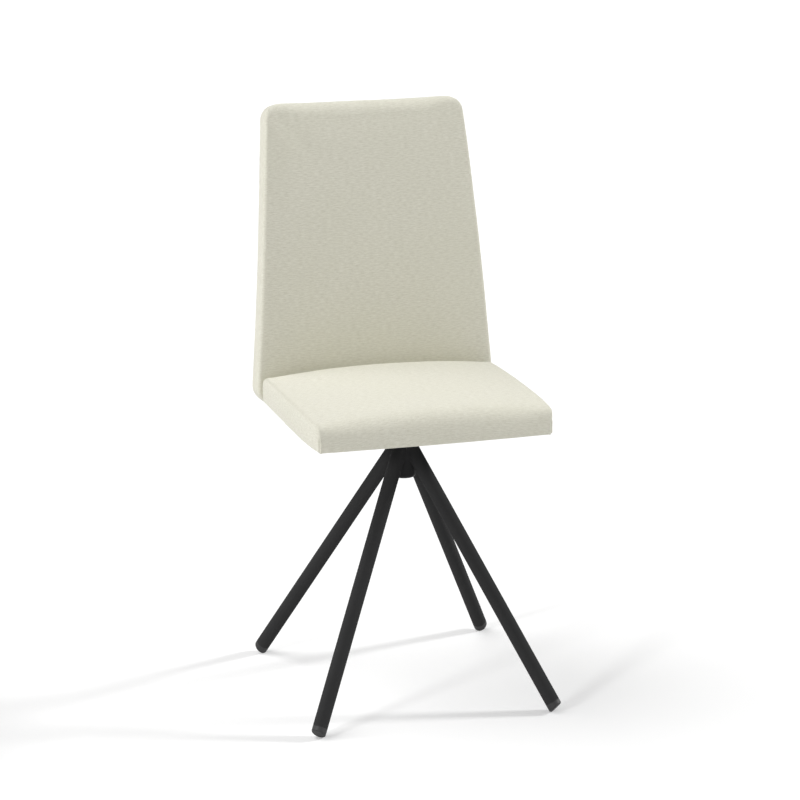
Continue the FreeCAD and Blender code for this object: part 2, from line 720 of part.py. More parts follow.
def back_foam():
    """Front foam of the back, slotted behind for the brackets."""
    foam = back_form(cover_thickness + layer_slip)
    foam = foam.common(curved_panel(-back_thickness, shell_front - layer_slip, -back_thickness, 0))
    for side in (-1, 1):
        foam = foam.cut(bracket_room(side))
    return foam


def back_wadding():
    """Thin wadding round the edges and over the rear of the shell."""
    wadding = back_form(cover_thickness + layer_slip)
    wadding = wadding.common(curved_panel(shell_front, 2 * back_thickness, -back_thickness, 0))
    wadding = wadding.cut(curved_panel(shell_front - back_thickness, shell_rear + layer_slip,
                                       shell_margin - layer_slip, shell_corner_radius))
    for side, height in back_hole_places():
        depth = shell_thickness + shell_sag(height) + 2 * t_nut_flange_thickness
        flange_room = Part.makeCylinder(t_nut_flange_diameter / 2 + layer_slip, depth, Vector(0, 0, -depth),
                                        Z_AXIS)
        flange_room.Placement = upright_frame(side, height)
        wadding = wadding.cut(flange_room)
    return wadding


def rear_window(room):
    """Zone of the rear skin that the rear panel fills."""
    return curved_panel(back_thickness / 2, 2 * back_thickness, rear_panel_margin + room,
                        rear_panel_corner_radius)


def back_skin():
    """Whole skin of the back."""
    return back_form(0.0).cut(back_form(cover_thickness))


def back_cover(skin):
    """Sewn cover over the front and the four edges of the back."""
    cover = skin.cut(rear_window(0.0))
    for side in (-1, 1):
        cover = cover.cut(bracket_room(side))
    return cover


def back_rear_panel(skin):
    """Fabric panel that closes the rear of the back."""
    return skin.common(rear_window(layer_slip))


def build():
    """Every piece of the chair by its node name."""
    corners = {"front_left": (-1, -1), "front_right": (1, -1), "rear_left": (-1, 1), "rear_right": (1, 1)}
    pieces = {}
    for name, (side_x, side_y) in corners.items():
        pieces["leg_" + name] = leg(side_x, side_y)
        pieces["foot_glide_" + name] = foot_glide(side_x, side_y)
    pieces["hub"] = hub()
    pieces["hub_cap"] = hub_cap()
    pieces["upper_bush"] = upper_bush()
    pieces["lower_bush"] = lower_bush()
    pieces["thrust_washer"] = thrust_washer()
    pieces["swivel_spindle"] = swivel_spindle()
    pieces["retaining_washer"] = retaining_washer()
    pieces["retaining_screw"] = retaining_screw()
    pieces["swivel_plate"] = swivel_plate()
    pieces["plate_screws"] = group([seat_screw(x, y) for x, y in plate_hole_places()])
    pieces["plate_t_nuts"] = group([seat_t_nut(x, y) for x, y in plate_hole_places()])
    pieces["seat_board"] = seat_board()
    pieces["seat_foam"] = seat_foam()
    pieces["seat_cover"] = seat_cover()
    pieces["seat_dust_cover"] = seat_dust_cover()
    for name, side in (("left", -1), ("right", 1)):
        pieces["back_bracket_" + name] = back_bracket(side)
    pieces["bracket_seat_screws"] = group([seat_screw(x, y) for x, y in all_bracket_side_places()])
    pieces["bracket_seat_t_nuts"] = group([seat_t_nut(x, y) for x, y in all_bracket_side_places()])
    pieces["bracket_back_screws"] = group([back_screw(*place) for place in back_hole_places()])
    pieces["bracket_back_t_nuts"] = group([back_t_nut(*place) for place in back_hole_places()])
    pieces["back_shell"] = back_shell()
    pieces["back_foam"] = back_foam()
    pieces["back_wadding"] = back_wadding()
    skin = back_skin()
    pieces["back_cover"] = back_cover(skin)
    pieces["back_rear_panel"] = back_rear_panel(skin)
    return pieces


os.makedirs("parts", exist_ok=True)
for node, shape in build().items():
    shape.exportStep("parts/" + node + ".step")
    print(node, "solids", len(shape.Solids), "valid", shape.isValid(), "volume", round(shape.Volume))
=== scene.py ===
import math

import bmesh
import bpy
import numpy as np
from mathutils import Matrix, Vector, kdtree, noise


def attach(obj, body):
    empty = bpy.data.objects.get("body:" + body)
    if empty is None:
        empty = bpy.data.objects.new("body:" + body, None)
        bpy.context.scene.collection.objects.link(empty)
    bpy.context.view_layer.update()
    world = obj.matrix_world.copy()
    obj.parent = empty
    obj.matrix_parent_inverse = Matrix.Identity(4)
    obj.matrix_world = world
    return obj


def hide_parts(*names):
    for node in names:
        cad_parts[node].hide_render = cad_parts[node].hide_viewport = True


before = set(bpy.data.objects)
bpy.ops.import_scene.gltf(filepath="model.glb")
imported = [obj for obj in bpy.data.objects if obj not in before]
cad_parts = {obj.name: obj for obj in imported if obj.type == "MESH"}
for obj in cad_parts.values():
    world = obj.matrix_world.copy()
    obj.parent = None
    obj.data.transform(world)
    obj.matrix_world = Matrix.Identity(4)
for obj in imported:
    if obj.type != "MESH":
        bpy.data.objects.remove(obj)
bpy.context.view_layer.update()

# Looks of the swivel dining chair: sewn fabric cushions on a powder-coated steel base.
# Metres, +Z up, origin on the floor at the swivel axis. The chair faces -Y.
MM = 0.001

# Camera and light
camera_distance = 4.5143
camera_azimuth = math.radians(-16.176)
camera_elevation = math.radians(15.642)
camera_lens = 120.31  # in millimetres, on a sensor 36 mm wide
aim_height = 0.5075
aim_aside = -0.0065
world_strength = 0.25
floor_radius = 40.0
floor_sides = 64
floor_colour = (0.8, 0.8, 0.8, 1)
floor_lift = 0.27  # makes the lit floor white for the camera
# Lamps: azimuth and elevation of where the light comes from, strength, and how wide it looks
lamps = {
    "key_from_the_left": (-115.0, 55.0, 0.49, 50.0),
    "side_from_the_right": (89.5, 28.0, 0.60, 8.0),
    "low_from_front_left": (-61.0, 20.0, 0.33, 9.0),
}

# Seat, in its own frame: the underside is a plane that leans back
seat_plane_height = 480.8 * MM
seat_tilt = math.radians(1.4)
seat_half_width = 200.0 * MM
seat_front = 193.0 * MM
seat_front_bulge = 5.5 * MM
seat_side_height = 44.5 * MM
seat_crown = 11.5 * MM
seat_dome = 3.0 * MM
seat_front_radius = 27.0 * MM
seat_rear_radius = 20.0 * MM
seat_bottom_radius = 2.5 * MM
seat_side_front_radius = 11.0 * MM  # of the front's upper edge at the side seams
seat_side_front_reach = 70.0 * MM  # from the side to where that edge has its full radius
seat_side_bow = 8.0 * MM  # the sides stand this much further out behind the front corners
seat_bow_reach = 50.0 * MM
seat_welt = 1.2 * MM  # the edge of the cover rolls this far below the board
seat_welt_reach = 12.0 * MM
seat_welt_height = 20.0 * MM
seat_top_edge_radius = 9.0 * MM
seat_corner_radius = 5.0 * MM
gusset_seam_inset = 3.0 * MM  # from the side to the seam of the side panel
gusset_bulge = 2.5 * MM  # the side panel swells this far out of its seam
gusset_reach = 12.0 * MM  # from its seam to where it has swollen in full
seat_to_back_gap = 0.6 * MM

# Back
back_bottom_height = seat_plane_height - 12.3 * MM
back_middle_rise = 251.5 * MM
back_height = 513.0 * MM
back_bottom_y = 167.8 * MM
back_middle_y = 190.3 * MM
back_top_y = 242.7 * MM
back_thickness = 46.0 * MM
back_crown = 4.0 * MM
back_strip_bulge = 2.0 * MM  # the strip round the edge swells this far at the sides
back_strip_top_bulge = 0.2 * MM
back_bottom_width = 430.0 * MM
back_top_width = 351.0 * MM
back_top_front_radius = 24.0 * MM
back_top_front_reach = 40.0 * MM  # along the top, from a corner to where it has that radius
back_corner_front_radius = 15.0 * MM
back_bottom_front_radius = 10.0 * MM
back_side_edge_radius = 5.0 * MM
back_rear_edge_radius = 4.0 * MM
back_top_corner_radius = 28.0 * MM
back_bottom_corner_radius = 27.0 * MM
back_recess_inset = 1.2 * MM
back_recess_clear = 0.3 * MM
rear_panel_margin = 4.4 * MM
rear_panel_thickness = 2.2 * MM
boxing_joint_height = 508.0 * MM  # where the strip round the edge is joined, on the left

# Underside, hub and legs
dust_cover_margin = 14.0 * MM
dust_cover_corner_radius = 25.0 * MM
dust_cover_fold = 12.0 * MM  # what is folded in at each of its edges
dust_cover_share = 0.985  # of its flat rectangle that is cloth, with the corners cut off for the fold
# Inset and depth below the board, from its hidden face round its edge to the fold, in millimetres
dust_cover_profile = [(0.4, 0.06), (0.0, 0.42), (0.4, 0.78), (11.5, 0.78), (12.5, 0.44)]
staple_inset = 6.0 * MM
staple_depth = 0.9 * MM
bracket_middle = 115.0 * MM
bracket_clear = 26.0 * MM  # staples stay this far from the middle of a bracket
hub_top_height = seat_plane_height - 20.3 * MM
hub_radius = 20.0 * MM
leg_radius = 12.5 * MM
leg_lean = math.radians(33.66)
leg_apex_drop = 13.3 * MM
collar_radius = 19.0 * MM
plate_underside = 5.8 * MM  # below the underside of the seat
weld_steps = 72

# Sewing: groove, width, ridge and pucker of each seam, in millimetres
seat_corner_seam_top = 0.6  # of the seat's height
seat_corner_seam = (1.8, 1.0, 0.7, 0.15)
seat_edge_seam = (0.25, 2.4, 0.15, 0.45)
back_front_seam = (0.6, 0.9, 0.2, 0.2)
back_rear_seam = (1.1, 1.1, 0.4, 0.2)
back_boxing_joint = (0.8, 1.0, 0.3, 0.1)
seat_pressure = 2.0
seat_swell = 1.5 * MM
seat_unevenness = 70.0 * MM  # length of its slow waves
back_pressure = 1.2
back_swell = 0.7 * MM
back_unevenness = 90.0 * MM
wave_height = 0.5 * MM
cloth_frames = 20
seam_hold = 0.1 * MM  # closer points of a sewn piece belong to its seam and stay

# What repeats along a line
stitch_depth = 0.2 * MM
stitch = {"Spacing": 6.0 * MM, "Length": 2.6 * MM, "Width": 1.0 * MM, "Height": 0.8 * MM}
staple = {"Spacing": 34.0 * MM, "Length": 10.0 * MM, "Width": 1.2 * MM, "Height": 0.6 * MM}
weld_bead = {"Spacing": 1.8 * MM, "Length": 3.4 * MM, "Width": 3.0 * MM, "Height": 2.6 * MM}

# Mesh spacing
coarse_step = 8.0 * MM
fine_step = 1.6 * MM
fine_reach = 26.0 * MM
seam_step = 0.7 * MM
round_steps = 6  # of each rounded edge
strip_steps = 6
rear_edge_steps = 3
dust_cover_steps = {"coarse": 9.0 * MM, "fine": 3.0 * MM}
weld_distance = 0.03 * MM  # closer points of a sewn piece are one
cad_weld_distance = 0.002 * MM
crisp_angle = math.radians(28)


# Shaders

class Value:
    """Output of a node that Python's operators work on."""

    def __init__(self, nodes, socket):
        self.nodes = nodes
        self.socket = socket

    def calculate(self, operation, *others):
        return self.nodes.node("ShaderNodeMath", {"operation": operation}, [self, *others])

    def __add__(self, other):
        return self.calculate("ADD", other)

    def __sub__(self, other):
        return self.calculate("SUBTRACT", other)

    def __rsub__(self, other):
        return self.nodes.node("ShaderNodeMath", {"operation": "SUBTRACT"}, [other, self])

    def __mul__(self, other):
        return self.calculate("MULTIPLY", other)

    def __truediv__(self, other):
        return self.calculate("DIVIDE", other)

    def __pow__(self, other):
        return self.calculate("POWER", other)

    __radd__ = __add__
    __rmul__ = __mul__


class Nodes:
    """One node tree under construction."""

    def __init__(self, tree):
        self.tree = tree
        self.tree.nodes.clear()

    def node(self, kind, settings=None, values=(), output=0):
        """Add a node: settings first, then its inputs by position or by name."""
        made = self.tree.nodes.new(kind)
        for name, setting in (settings or {}).items():
            if name == "stops":
                set_stops(made.color_ramp, setting)
            else:
                setattr(made, name, setting)
        pairs = values.items() if isinstance(values, dict) else enumerate(values)
        for name, value in pairs:
            if isinstance(value, Value):
                self.tree.links.new(value.socket, made.inputs[name])
            elif value is not None:
                made.inputs[name].default_value = value
        return Value(self, made.outputs[output]) if made.outputs else None


class Shader(Nodes):
    """One material under construction."""

    def __init__(self, name):
        self.material = bpy.data.materials.new(name)
        self.material.use_nodes = True
        super().__init__(self.material.node_tree)

    def place(self, scale=(1, 1, 1), turn=(0, 0, 0), kind="Object"):
        """Object coordinates or the thread coordinates, scaled and turned."""
        start = self.node("ShaderNodeTexCoord", output=kind)
        return self.node("ShaderNodeMapping", {}, {"Vector": start, "Rotation": turn, "Scale": scale})

    def cloud(self, where, scale, detail=3.0, roughness=0.5):
        """Smooth noise from 0 to 1."""
        return self.node("ShaderNodeTexNoise", {},
                         {"Vector": where, "Scale": scale, "Detail": detail, "Roughness": roughness})

    def waves(self, value, length):
        """Sine of a coordinate, one wave in each length."""
        return (value * (2 * math.pi / length)).calculate("SINE")

    def mix(self, share, first, second, blend="MIX"):
        """Mix two colours."""
        return self.node("ShaderNodeMix", {"data_type": "RGBA", "blend_type": blend},
                         {0: share, 6: first, 7: second}, output=2)

    def ramp(self, value, stops):
        return self.node("ShaderNodeValToRGB", {"stops": stops}, [value])

    def part(self, vector, name):
        """One coordinate of a vector."""
        return self.node("ShaderNodeSeparateXYZ", {}, [vector], output=name)

    def bump(self, height, distance, strength=1.0):
        return self.node("ShaderNodeBump", {},
                         {"Height": height, "Distance": distance, "Strength": strength})

    def finish(self, colour, roughness, normal, metallic=0.0, **fixed):
        """Principled surface. What is in fixed stays constant and goes on the shader's own sockets."""
        values = {"Base Color": colour, "Roughness": roughness, "Metallic": metallic, "Normal": normal}
        values.update({name.replace("_", " "): value for name, value in fixed.items()})
        surface = self.node("ShaderNodeBsdfPrincipled", {}, values)
        self.node("ShaderNodeOutputMaterial", {}, {"Surface": surface})
        return self.material


def set_stops(ramp, stops):
    """Colour stops as (position, colour) pairs."""
    while len(ramp.elements) < len(stops):
        ramp.elements.new(1.0)
    for element, (position, colour) in zip(ramp.elements, stops):
        element.position = position
        element.color = (*colour[:3], 1.0)


def srgb(red, green, blue):
    """Linear colour of an sRGB colour that is given from 0 to 255."""
    return tuple((part / 255 / 12.92) if part <= 10 else ((part / 255 + 0.055) / 1.055) ** 2.4
                 for part in (red, green, blue)) + (1.0,)


def add_object(name, data):
    made = bpy.data.objects.new(name, data)
    bpy.context.scene.collection.objects.link(made)
    return made


def smooth_faces(mesh):
    mesh.polygons.foreach_set("use_smooth", [True] * len(mesh.polygons))


# Curves and grids

def circle_through(first, second, third):
    """Centre and radius of the circle through three (y, z) points."""
    (ay, az), (by, bz), (cy, cz) = first, second, third
    double_area = 2 * (ay * (bz - cz) + by * (cz - az) + cy * (az - bz))
    a2, b2, c2 = ay * ay + az * az, by * by + bz * bz, cy * cy + cz * cz
    y = (a2 * (bz - cz) + b2 * (cz - az) + c2 * (az - bz)) / double_area
    z = (a2 * (cy - by) + b2 * (ay - cy) + c2 * (by - ay)) / double_area
    return y, z, math.hypot(ay - y, az - z)


back_centre_y, back_centre_z, back_radius = circle_through(
    (back_bottom_y, back_bottom_height),
    (back_middle_y, back_bottom_height + back_middle_rise),
    (back_top_y, back_bottom_height + back_height))
back_bottom_angle = math.asin((back_bottom_height - back_centre_z) / back_radius)
back_top_angle = math.asin((back_bottom_height + back_height - back_centre_z) / back_radius)
back_arc_length = back_radius * (back_top_angle - back_bottom_angle)


def back_front_y(height):
    """Y of the back's front face at a height."""
    return back_centre_y - math.sqrt(back_radius ** 2 - (height - back_centre_z) ** 2)


def back_place(x, rise, depth):
    """Point of the back: x, the rise along its arc and the depth behind its front face."""
    angle = back_bottom_angle + rise / back_radius
    reach = back_radius - depth
    return Vector((x, back_centre_y - reach * math.cos(angle), back_centre_z + reach * math.sin(angle)))


def seat_place(x, depth, height):
    """Point of the seat's own frame."""
    return Vector((x, depth * math.cos(seat_tilt) + height * math.sin(seat_tilt),
                   seat_plane_height - depth * math.sin(seat_tilt) + height * math.cos(seat_tilt)))


seat_rear = back_front_y(seat_plane_height + seat_side_height / 2) - back_crown - seat_to_back_gap
seat_rear -= seat_side_height * math.sin(seat_tilt)


def graded(length, marks, coarse=coarse_step, fine=fine_step, reach=fine_reach):
    """Shares from 0 to 1 along a length, closer together near the marks."""
    places = [0.0]
    while places[-1] < length:
        near = min(abs(places[-1] - mark) for mark in marks) / reach
        places.append(places[-1] + fine + (coarse - fine) * min(1.0, near))
    return [place / places[-1] for place in places]


def turned(vector, angle):
    """A flat vector turned anticlockwise."""
    cosine, sine = math.cos(angle), math.sin(angle)
    return Vector((vector.x * cosine - vector.y * sine, vector.x * sine + vector.y * cosine))


def rounded_sides(corners, radii, shares):
    """Points and inward normals round a polygon with rounded corners, anticlockwise.

    There is one list for each side, from the middle of one corner's arc to the middle of the next.
    """
    corners = [Vector(corner) for corner in corners]
    count = len(corners)
    along = [(corners[(index + 1) % count] - corners[index]).normalized() for index in range(count)]
    bend = [along[index - 1].angle_signed(along[index]) * -1 for index in range(count)]
    sides = []
    for index in range(count):
        after = (index + 1) % count
        heading = along[index]
        inward = turned(heading, math.pi / 2)
        first_arc, last_arc = radii[index] * bend[index] / 2, radii[after] * bend[after] / 2
        first_cut = radii[index] * math.tan(bend[index] / 2)
        last_cut = radii[after] * math.tan(bend[after] / 2)
        straight = (corners[after] - corners[index]).length - first_cut - last_cut
        first_centre = corners[index] + heading * first_cut + inward * radii[index]
        last_centre = corners[after] - heading * last_cut + inward * radii[after]
        side = []
        for share in shares[index]:
            distance = share * (first_arc + straight + last_arc)
            if distance < first_arc:
                outward = turned(-inward, (distance - first_arc) / radii[index])
                side.append((first_centre + outward * radii[index], -outward))
            elif distance <= first_arc + straight:
                place = corners[index] + heading * (first_cut + distance - first_arc)
                side.append((place, inward))
            else:
                outward = turned(-inward, (distance - first_arc - straight) / radii[after])
                side.append((last_centre + outward * radii[after], -outward))
        sides.append(side)
    return sides


def closed(line):
    """The line back to its start."""
    return line + line[:1]


def ring_of(sides):
    return [item for side in sides for item in side[:-1]]


def rounded_ring(corners, radii, wide_shares, tall_shares):
    """Points and inward normals round a rounded four-sided outline, from its lower left corner."""
    down_shares = [1 - share for share in reversed(tall_shares)]
    return ring_of(rounded_sides(corners, radii, [wide_shares, tall_shares, wide_shares, down_shares]))


def coons(low, high, left, right):
    """Rows of a grid between four borders: low and high run left to right, left and right upwards."""
    wide, tall = len(low) - 1, len(left) - 1
    rows = []
    for row in range(tall + 1):
        up = row / tall
        line = []
        for column in range(wide + 1):
            over = column / wide
            ruled = low[column] * (1 - up) + high[column] * up + left[row] * (1 - over) + right[row] * over
            corner = (low[0] * ((1 - over) * (1 - up)) + low[-1] * (over * (1 - up))
                      + high[0] * ((1 - over) * up) + high[-1] * (over * up))
            line.append(ruled - corner)
        rows.append(line)
    return rows


class Skin:
    """Collects the points, faces and thread coordinates of one sewn piece."""

    def __init__(self):
        self.points = []
        self.faces = []
        self.threads = []
        self.known = {}

    def point(self, place):
        key = tuple(round(part * 1e6) for part in place)
        if key not in self.known:
            self.known[key] = len(self.points)
            self.points.append(place)
        return self.known[key]

    def patch(self, rows, threads, inside_out=False):
        """Add a grid of quads. threads holds a (u, v) in metres for each point."""
        for row in range(len(rows) - 1):
            for column in range(len(rows[row]) - 1):
                loop = [(row, column), (row, column + 1), (row + 1, column + 1), (row + 1, column)]
                if inside_out:
                    loop.reverse()
                face = {self.point(rows[r][c]): threads[r][c] for r, c in loop}
                if len(face) > 2:
                    self.faces.append(list(face))
                    self.threads.append(list(face.values()))

    def lid(self, ring, wide, tall, placed, inside_out=False):
        """Fill a closed flat ring with a grid of wide by tall quads. placed gives each point its place."""
        ends = [0, wide, wide + tall, 2 * wide + tall, 2 * (wide + tall)]
        low, right, high, left = [closed(ring)[start:end + 1] for start, end in zip(ends, ends[1:])]
        flat = coons(low, high[::-1], left[::-1], right)
        self.patch([[placed(place) for place in line] for line in flat],
                   [[tuple(place) for place in line] for line in flat], inside_out)

    def piece(self, name):
        """The finished mesh as an object."""
        mesh = bpy.data.meshes.new(name)
        mesh.from_pydata(self.points, [], self.faces)
        layer = mesh.uv_layers.new(name="threads")
        layer.data.foreach_set("uv", [part for face in self.threads for pair in face for part in pair])
        joined = bmesh.new()
        joined.from_mesh(mesh)
        bmesh.ops.remove_doubles(joined, verts=joined.verts, dist=weld_distance)
        bmesh.ops.recalc_face_normals(joined, faces=joined.faces)
        joined.to_mesh(mesh)
        joined.free()
        smooth_faces(mesh)
        return add_object(name, mesh)


def vertex_rows(mesh, kind="co"):
    """Vertex places, or normals, as an array of rows."""
    rows = np.zeros(len(mesh.vertices) * 3)
    mesh.vertices.foreach_get(kind, rows)
    return rows.reshape(-1, 3)


def put(mesh, places):
    mesh.vertices.foreach_set("co", places.ravel())
    mesh.update()


def push(piece, move):
    """Move each vertex outwards by what move says for its place."""
    places = vertex_rows(piece.data)
    moves = [move(Vector(place)) for place in places]
    put(piece.data, places + vertex_rows(piece.data, "normal") * np.array(moves)[:, None])


def make_real(piece):
    """Turn a piece with its modifiers into a plain mesh."""
    evaluated = piece.evaluated_get(bpy.context.evaluated_depsgraph_get())
    mesh = bpy.data.meshes.new_from_object(evaluated, preserve_all_data_layers=True,
                                           depsgraph=bpy.context.evaluated_depsgraph_get())
    piece.modifiers.clear()
    piece.data = mesh


def subdivide(piece):
    """One level of subdivision, applied."""
    smooth = piece.modifiers.new("smooth", "SUBSURF")
    smooth.levels = 1
    smooth.render_levels = 1
    make_real(piece)


def swell(piece, is_held, pressure, most):
    """Swell a sewn piece by a short cloth simulation.

    The points that is_held names stay where they are, and no other moves further than about most.
    """
    rest = vertex_rows(piece.data)
    held = piece.vertex_groups.new(name="held")
    held.add([index for index, place in enumerate(rest) if is_held(Vector(place))], 1.0, "REPLACE")
    cloth = piece.modifiers.new("cloth", "CLOTH")
    for name, setting in {"quality": 5, "mass": 0.3, "tension_stiffness": 25,
                          "compression_stiffness": 25, "shear_stiffness": 12, "bending_stiffness": 4,
                          "use_pressure": True, "uniform_pressure_force": pressure,
                          "vertex_group_mass": held.name}.items():
        setattr(cloth.settings, name, setting)
    cloth.settings.effector_weights.gravity = 0
    cloth.point_cache.frame_start = 1
    cloth.point_cache.frame_end = cloth_frames
    for moment in range(1, cloth_frames + 1):
        bpy.context.scene.frame_set(moment)
    evaluated = piece.evaluated_get(bpy.context.evaluated_depsgraph_get())
    moves = vertex_rows(evaluated.data) - rest
    lengths = np.maximum(np.linalg.norm(moves, axis=1, keepdims=True), 1e-9)
    piece.modifiers.clear()
    piece.vertex_groups.clear()
    put(piece.data, rest + moves * (np.tanh(lengths / most) * most / lengths))
    bpy.context.scene.frame_set(1)


def tree_of(line):
    """Search tree over the points of a line."""
    tree = kdtree.KDTree(len(line))
    for index, place in enumerate(line):
        tree.insert(place, index)
    tree.balance()
    return tree


def press_seam(piece, line, seam):
    """Draw a sewn seam in along a line of points, with a soft ridge and small puckers beside it."""
    groove, width, ridge, pucker = (size * MM for size in seam)
    tree = tree_of(line)

    def move(place):
        beside = tree.find(place)[2] / width
        if beside > 12:
            return 0.0
        ripple = noise.noise(place / (9 * MM)) + 0.6 * noise.noise(place / (4 * MM))
        drawn = ridge * math.exp(-((beside - 2.6) / 1.3) ** 2) - groove * math.exp(-beside ** 2)
        return drawn + pucker * ripple * math.exp(-(beside / 5) ** 2) * min(1.0, beside)

    push(piece, move)


def soften(piece, spread):
    """Slow unevenness of a padded surface."""
    push(piece, lambda place: wave_height * noise.noise(place / spread))


def dense(line):
    """The points of a line with more points between them."""
    filled = []
    for first, last in zip(line, line[1:]):
        parts = max(1, math.ceil((last - first).length / seam_step))
        filled += [first.lerp(last, part / parts) for part in range(parts)]
    return filled + [line[-1]]


# Materials

def weave_height(shader, threads, pitch):
    """Height of a plain weave: two sets of threads that pass over each other in turn."""
    across = shader.part(threads, "X") / pitch
    along = shader.part(threads, "Y") / pitch
    warp = (across * math.pi).calculate("SINE").calculate("ABSOLUTE")
    weft = (along * math.pi).calculate("SINE").calculate("ABSOLUTE")
    turn = (across.calculate("FLOOR") + along.calculate("FLOOR")) * 0.5
    odd = (turn - turn.calculate("FLOOR")).calculate("GREATER_THAN", 0.25)
    return warp * (0.45 + 0.55 * odd) + weft * (1.0 - 0.55 * odd)


def cream_fabric(shader):
    """Fine cream weave with uneven threads, and painted shade in the hollows of the weave."""
    threads = shader.place(kind="UV")
    uneven = shader.cloud(threads, 320.0, 2.0)
    wander = shader.node("ShaderNodeTexNoise", {}, {"Vector": threads, "Scale": 150.0}, output="Color")
    drift = shader.node("ShaderNodeVectorMath", {"operation": "SCALE"}, {0: wander, "Scale": 0.0009})
    bent = shader.node("ShaderNodeVectorMath", {"operation": "ADD"}, [threads, drift])
    height = weave_height(shader, bent, 1.5 * MM)
    slub = shader.cloud(shader.place(scale=(110, 520, 110), kind="UV"), 1.0, 3.0, 0.6)
    warp_slub = shader.cloud(shader.place(scale=(600, 130, 110), kind="UV"), 1.0, 2.0, 0.6)
    wide = shader.cloud(shader.place(), 9.0, 3.0)
    light = shader.ramp(slub, [(0.3, srgb(221, 218, 202)), (0.7, srgb(243, 241, 228))])
    toned = shader.mix(wide * 0.5, light, srgb(228, 227, 208))
    # Painted shade: where the weave and its slubs lie lower, the colour is darkened by up to a fifth, as
    # shade falls in its hollows.
    depth = (height * 0.5 + slub * 0.35 + warp_slub * 0.25).calculate("MINIMUM", 1.2)
    shade = shader.ramp(depth, [(0.25, (0.80, 0.79, 0.76)), (0.75, (1.0, 1.0, 1.0))])
    colour = shader.mix(1.0, toned, shade, "MULTIPLY")
    normal = shader.bump(height * 0.6 + slub * 0.9 + warp_slub * 0.5 + uneven * 0.4, 0.4 * MM, 0.7)
    return shader.finish(colour, 0.92 - slub * 0.1, normal, Sheen_Weight=0.25, Sheen_Roughness=0.5,
                         Specular_IOR_Level=0.2)


def black_powder_coat(shader):
    """Matt black powder coat with its fine orange peel."""
    places = shader.place()
    peel = shader.cloud(places, 900.0, 2.0)
    grit = shader.cloud(places, 3200.0, 2.0)
    wear = shader.cloud(places, 14.0, 4.0)
    colour = shader.mix(wear, (0.032, 0.032, 0.0325, 1), (0.041, 0.041, 0.0415, 1))
    normal = shader.bump(peel * 0.7 + grit * 0.3, 0.12 * MM, 0.6)
    return shader.finish(colour, 0.74 + 0.08 * wear + 0.06 * peel, normal, Specular_IOR_Level=0.06)


def black_plastic(shader):
    """Moulded black plastic with a fine spark-eroded grain."""
    places = shader.place()
    grain = shader.cloud(places, 1600.0, 3.0)
    scuff = shader.cloud(places, 60.0, 4.0)
    colour = shader.mix(scuff, (0.012, 0.012, 0.012, 1), (0.020, 0.020, 0.021, 1))
    return shader.finish(colour, 0.5 + 0.12 * scuff, shader.bump(grain, 0.1 * MM, 0.5))


def bearing_plastic(shader):
    """Natural acetal, turned smooth."""
    places = shader.place()
    lathe = shader.waves(shader.part(places, "Z"), 0.4 * MM)
    cloud = shader.cloud(places, 40.0)
    colour = shader.mix(cloud, srgb(226, 224, 214), srgb(236, 235, 227))
    return shader.finish(colour, 0.38 + 0.08 * cloud, shader.bump(lathe, 0.02 * MM, 0.4))


def turned_steel(shader):
    """Steel with the fine rings of a lathe."""
    places = shader.place()
    lathe = shader.waves(shader.part(places, "Z"), 0.35 * MM)
    stain = shader.cloud(places, 55.0, 4.0)
    colour = shader.mix(stain, srgb(150, 150, 152), srgb(182, 181, 178))
    return shader.finish(colour, 0.28 + 0.16 * stain, shader.bump(lathe, 0.015 * MM, 0.5), 1.0)


def zinc_plated_steel(shader):
    """Bright zinc with a faint bluish and yellowish cast."""
    places = shader.place()
    cast = shader.cloud(places, 90.0, 2.0)
    spangle = shader.cloud(places, 700.0, 2.0)
    colour = shader.mix(cast, srgb(176, 182, 192), srgb(196, 192, 176))
    return shader.finish(colour, 0.26 + 0.2 * spangle, shader.bump(spangle, 0.02 * MM, 0.4), 1.0)


def plywood(shader):
    """Birch plywood: plies seen at the edges, long grain on the faces."""
    places = shader.place()
    grain = shader.cloud(shader.place(scale=(14, 160, 160)), 1.0, 4.0, 0.6)
    ply = shader.waves(shader.part(places, "Z"), 3.0 * MM).calculate("GREATER_THAN", 0.0)
    pale = shader.mix(grain, srgb(196, 164, 118), srgb(222, 196, 152))
    dark = shader.mix(grain, srgb(160, 124, 84), srgb(188, 154, 110))
    colour = shader.mix(ply * 0.55, pale, dark)
    return shader.finish(colour, 0.6 + 0.15 * grain, shader.bump(grain, 0.15 * MM, 0.5))


def foam(shader):
    """Open-celled upholstery foam, with painted shade in its cells."""
    places = shader.place()
    cells = shader.node("ShaderNodeTexVoronoi", {}, {"Vector": places, "Scale": 900.0})
    # Painted shade: the colour is darker towards the middle of each cell, where the bump sinks in.
    colour = shader.ramp(cells, [(0.0, (0.42, 0.40, 0.28)), (0.6, (0.74, 0.72, 0.58))])
    return shader.finish(colour, 0.95, shader.bump(cells, 0.5 * MM))


def wadding(shader):
    """White polyester wadding."""
    fibres = shader.cloud(shader.place(scale=(300, 40, 300), turn=(0.4, 0.3, 0.8)), 3.0, 5.0, 0.7)
    colour = shader.ramp(fibres, [(0.3, (0.62, 0.62, 0.61)), (0.7, (0.88, 0.88, 0.87))])
    return shader.finish(colour, 0.95, shader.bump(fibres, 1.0 * MM))


def black_lining(shader):
    """Black non-woven cloth with rows of small pressed dots."""
    threads = shader.place(kind="UV")
    across = shader.waves(shader.part(threads, "X"), 2.6 * MM)
    along = shader.waves(shader.part(threads, "Y"), 2.6 * MM)
    dots = (across * across * along * along) ** 2
    fibres = shader.cloud(shader.place(scale=(500, 120, 300), kind="UV"), 2.0, 4.0)
    colour = shader.mix(fibres, (0.010, 0.010, 0.010, 1), (0.032, 0.032, 0.033, 1))
    return shader.finish(colour, 0.85 - 0.25 * dots, shader.bump(fibres * 0.5 - dots, 0.12 * MM, 0.8))


